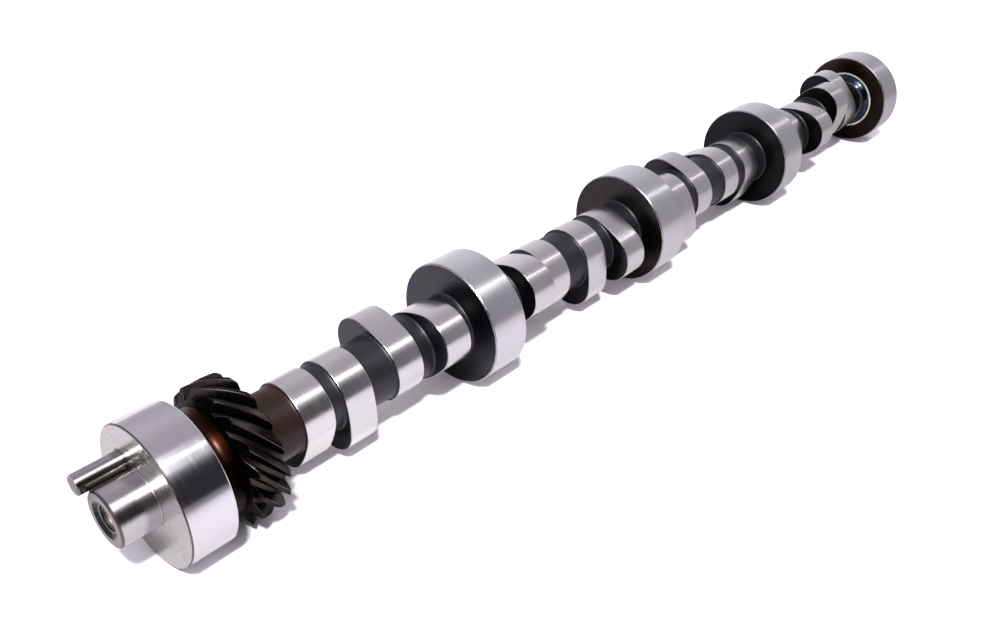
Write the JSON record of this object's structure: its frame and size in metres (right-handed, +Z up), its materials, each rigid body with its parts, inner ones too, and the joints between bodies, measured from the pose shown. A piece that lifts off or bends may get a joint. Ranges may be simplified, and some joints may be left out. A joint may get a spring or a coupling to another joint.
{
  "type": "camshaft",
  "caption": "One-piece engine camshaft with bearing journals, cam lobes, a helical drive gear and a bolting snout with a dowel pin.",
  "frame": {"origin": "on the shaft's axis at the front journal's front face, where the timing gear seats", "axes": "+X along the axis from the snout to the rear journal, +Z up as the shaft lies in the picture, +Y to the far side"},
  "size_m": [0.5098, 0.0528, 0.0528],
  "materials": {
    "shaft_steel": "ground bright journals and lobes, turned front face, blackened core, dark oily gear",
    "pin_steel": "ground, bright"
  },
  "bodies": {
    "root": {"camshaft": "shaft_steel", "dowel_pin": "pin_steel"}
  },
  "joints": []
}
